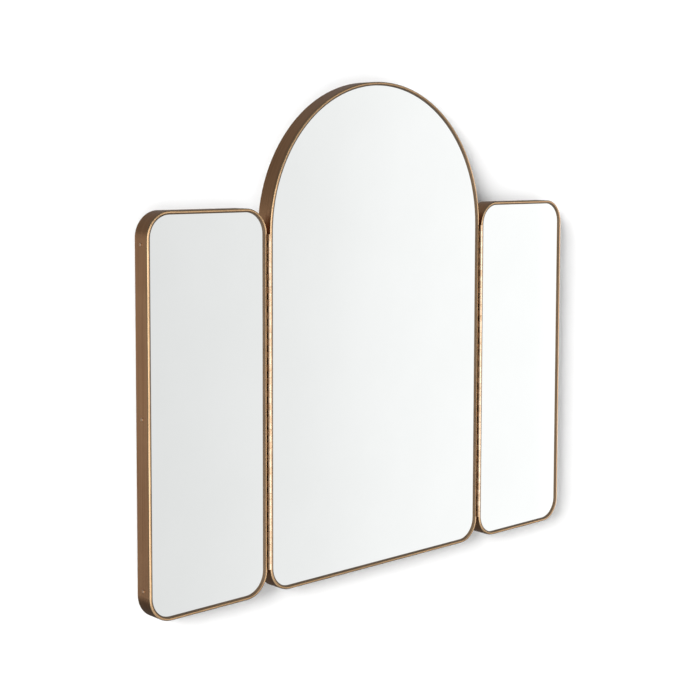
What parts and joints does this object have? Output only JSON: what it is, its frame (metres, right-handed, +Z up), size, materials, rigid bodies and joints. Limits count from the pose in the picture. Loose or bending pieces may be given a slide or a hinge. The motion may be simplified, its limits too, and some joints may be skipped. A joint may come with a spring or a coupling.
{
  "type": "trifold wall mirror",
  "caption": "Wall-hung folding mirror: an arched centre panel with two lower round-cornered wings on continuous hinges, in slim deep bronze frames.",
  "frame": {"origin": "midway between the round entries of the two keyhole hangers, on the plane of the wall", "axes": "+X to the viewer's right, -Y out of the wall towards the viewer, +Z up"},
  "size_m": [1.1866, 0.0454, 1.0172],
  "materials": {
    "frame_metal": "brushed antique bronze plating",
    "mirror_glass": "silvered float glass, polished",
    "foam_tape": "white closed-cell foam",
    "back_board": "raw medium-density fibreboard",
    "batten_wood": "planed softwood",
    "bumper": "matt black rubber",
    "screw_bronze": "bronze-plated steel",
    "hinge_brass": "brushed antique brass",
    "hinge_pin": "drawn steel wire",
    "zinc_plate": "bright zinc-plated steel"
  },
  "bodies": {
    "centre": {"centre_frame": "frame_metal", "centre_mirror": "mirror_glass", "centre_mirror_tape": "foam_tape", "centre_backboard": "back_board", "centre_bumpers": "bumper", "centre_frame_screws": "screw_bronze", "centre_bottom_rail": "batten_wood", "centre_left_stile": "batten_wood", "centre_right_stile": "batten_wood", "centre_arch_batten": "back_board", "centre_hanging_rail": "batten_wood", "left_keyhole_plate": "zinc_plate", "right_keyhole_plate": "zinc_plate", "keyhole_plate_screws": "zinc_plate", "left_hinge_centre_leaf": "hinge_brass", "left_hinge_pin": "hinge_pin", "left_hinge_centre_screws": "screw_bronze", "right_hinge_centre_leaf": "hinge_brass", "right_hinge_pin": "hinge_pin", "right_hinge_centre_screws": "screw_bronze"},
    "left_wing": {"left_wing_frame": "frame_metal", "left_wing_mirror": "mirror_glass", "left_wing_mirror_tape": "foam_tape", "left_wing_backboard": "back_board", "left_wing_bumpers": "bumper", "left_wing_frame_screws": "screw_bronze", "left_wing_bottom_rail": "batten_wood", "left_wing_top_rail": "batten_wood", "left_wing_left_stile": "batten_wood", "left_wing_right_stile": "batten_wood", "left_hinge_wing_leaf": "hinge_brass", "left_hinge_wing_screws": "screw_bronze"},
    "right_wing": {"right_wing_frame": "frame_metal", "right_wing_mirror": "mirror_glass", "right_wing_mirror_tape": "foam_tape", "right_wing_backboard": "back_board", "right_wing_bumpers": "bumper", "right_wing_frame_screws": "screw_bronze", "right_wing_bottom_rail": "batten_wood", "right_wing_top_rail": "batten_wood", "right_wing_left_stile": "batten_wood", "right_wing_right_stile": "batten_wood", "right_hinge_wing_leaf": "hinge_brass", "right_hinge_wing_screws": "screw_bronze"}
  },
  "joints": [
    {"name": "left_wing_fold", "type": "hinge", "parent": "centre", "child": "left_wing", "pos_m": [-0.307, -0.042, 0], "axis": [0, 0, 1], "range_deg": [0, 180]},
    {"name": "right_wing_fold", "type": "hinge", "parent": "centre", "child": "right_wing", "pos_m": [0.307, -0.042, 0], "axis": [0, 0, -1], "range_deg": [0, 180]}
  ]
}
